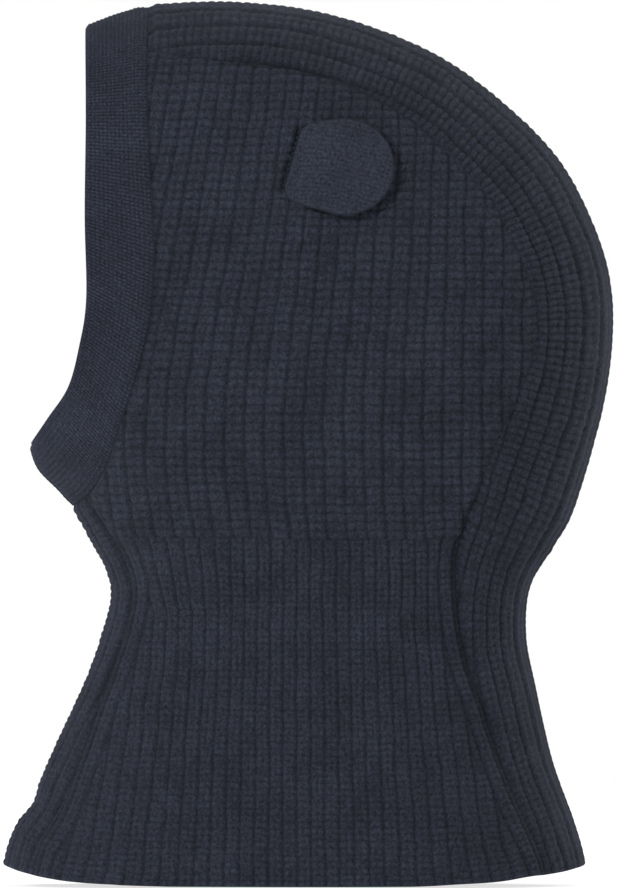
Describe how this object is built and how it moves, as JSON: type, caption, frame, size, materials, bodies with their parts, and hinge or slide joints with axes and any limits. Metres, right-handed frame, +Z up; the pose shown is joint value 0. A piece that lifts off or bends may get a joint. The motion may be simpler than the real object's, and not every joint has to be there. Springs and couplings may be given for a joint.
{
  "type": "knitted balaclava",
  "caption": "Child's knitted wool balaclava hood with ribbed neck, folded band round the face and small round ears that hinge at their sewn bases.",
  "frame": {"origin": "middle of the wearer's head, inside the hood", "axes": "+Z up to the crown, +X to the wearer's left, -Y out through the face opening"},
  "size_m": [0.1476, 0.2507, 0.362],
  "materials": {
    "waffle_knit": "dark navy wool in waffle knit, matt",
    "rib_knit": "dark navy wool in rib knit, matt",
    "band_knit": "dark navy wool in fine knit, matt",
    "ear_knit": "dark navy wool jersey, brushed and matt",
    "linking_thread": "dark navy linking yarn"
  },
  "bodies": {
    "hood": {"crown_back_gusset": "waffle_knit", "throat_gusset": "rib_knit", "left_side_panel": "waffle_knit", "right_side_panel": "waffle_knit", "face_band": "band_knit", "face_band_seam": "linking_thread", "chin_seam": "linking_thread", "left_gusset_seam": "linking_thread", "right_gusset_seam": "linking_thread", "left_throat_seam": "linking_thread", "right_throat_seam": "linking_thread", "left_ear_base_seam": "linking_thread", "right_ear_base_seam": "linking_thread"},
    "left_ear": {"left_ear_front": "ear_knit", "left_ear_back": "ear_knit", "left_ear_rim_seam": "linking_thread"},
    "right_ear": {"right_ear_front": "ear_knit", "right_ear_back": "ear_knit", "right_ear_rim_seam": "linking_thread"}
  },
  "joints": [
    {"name": "left_ear_hinge", "type": "hinge", "parent": "hood", "child": "left_ear", "pos_m": [0.06945, -0.02291, 0.06082], "axis": [0.177, -0.268, -0.947], "range_deg": [0, 110], "stiffness_Nm_per_rad": 0.003},
    {"name": "right_ear_hinge", "type": "hinge", "parent": "hood", "child": "right_ear", "pos_m": [-0.06945, -0.02291, 0.06082], "axis": [0.177, 0.268, 0.947], "range_deg": [0, 110], "stiffness_Nm_per_rad": 0.003}
  ]
}
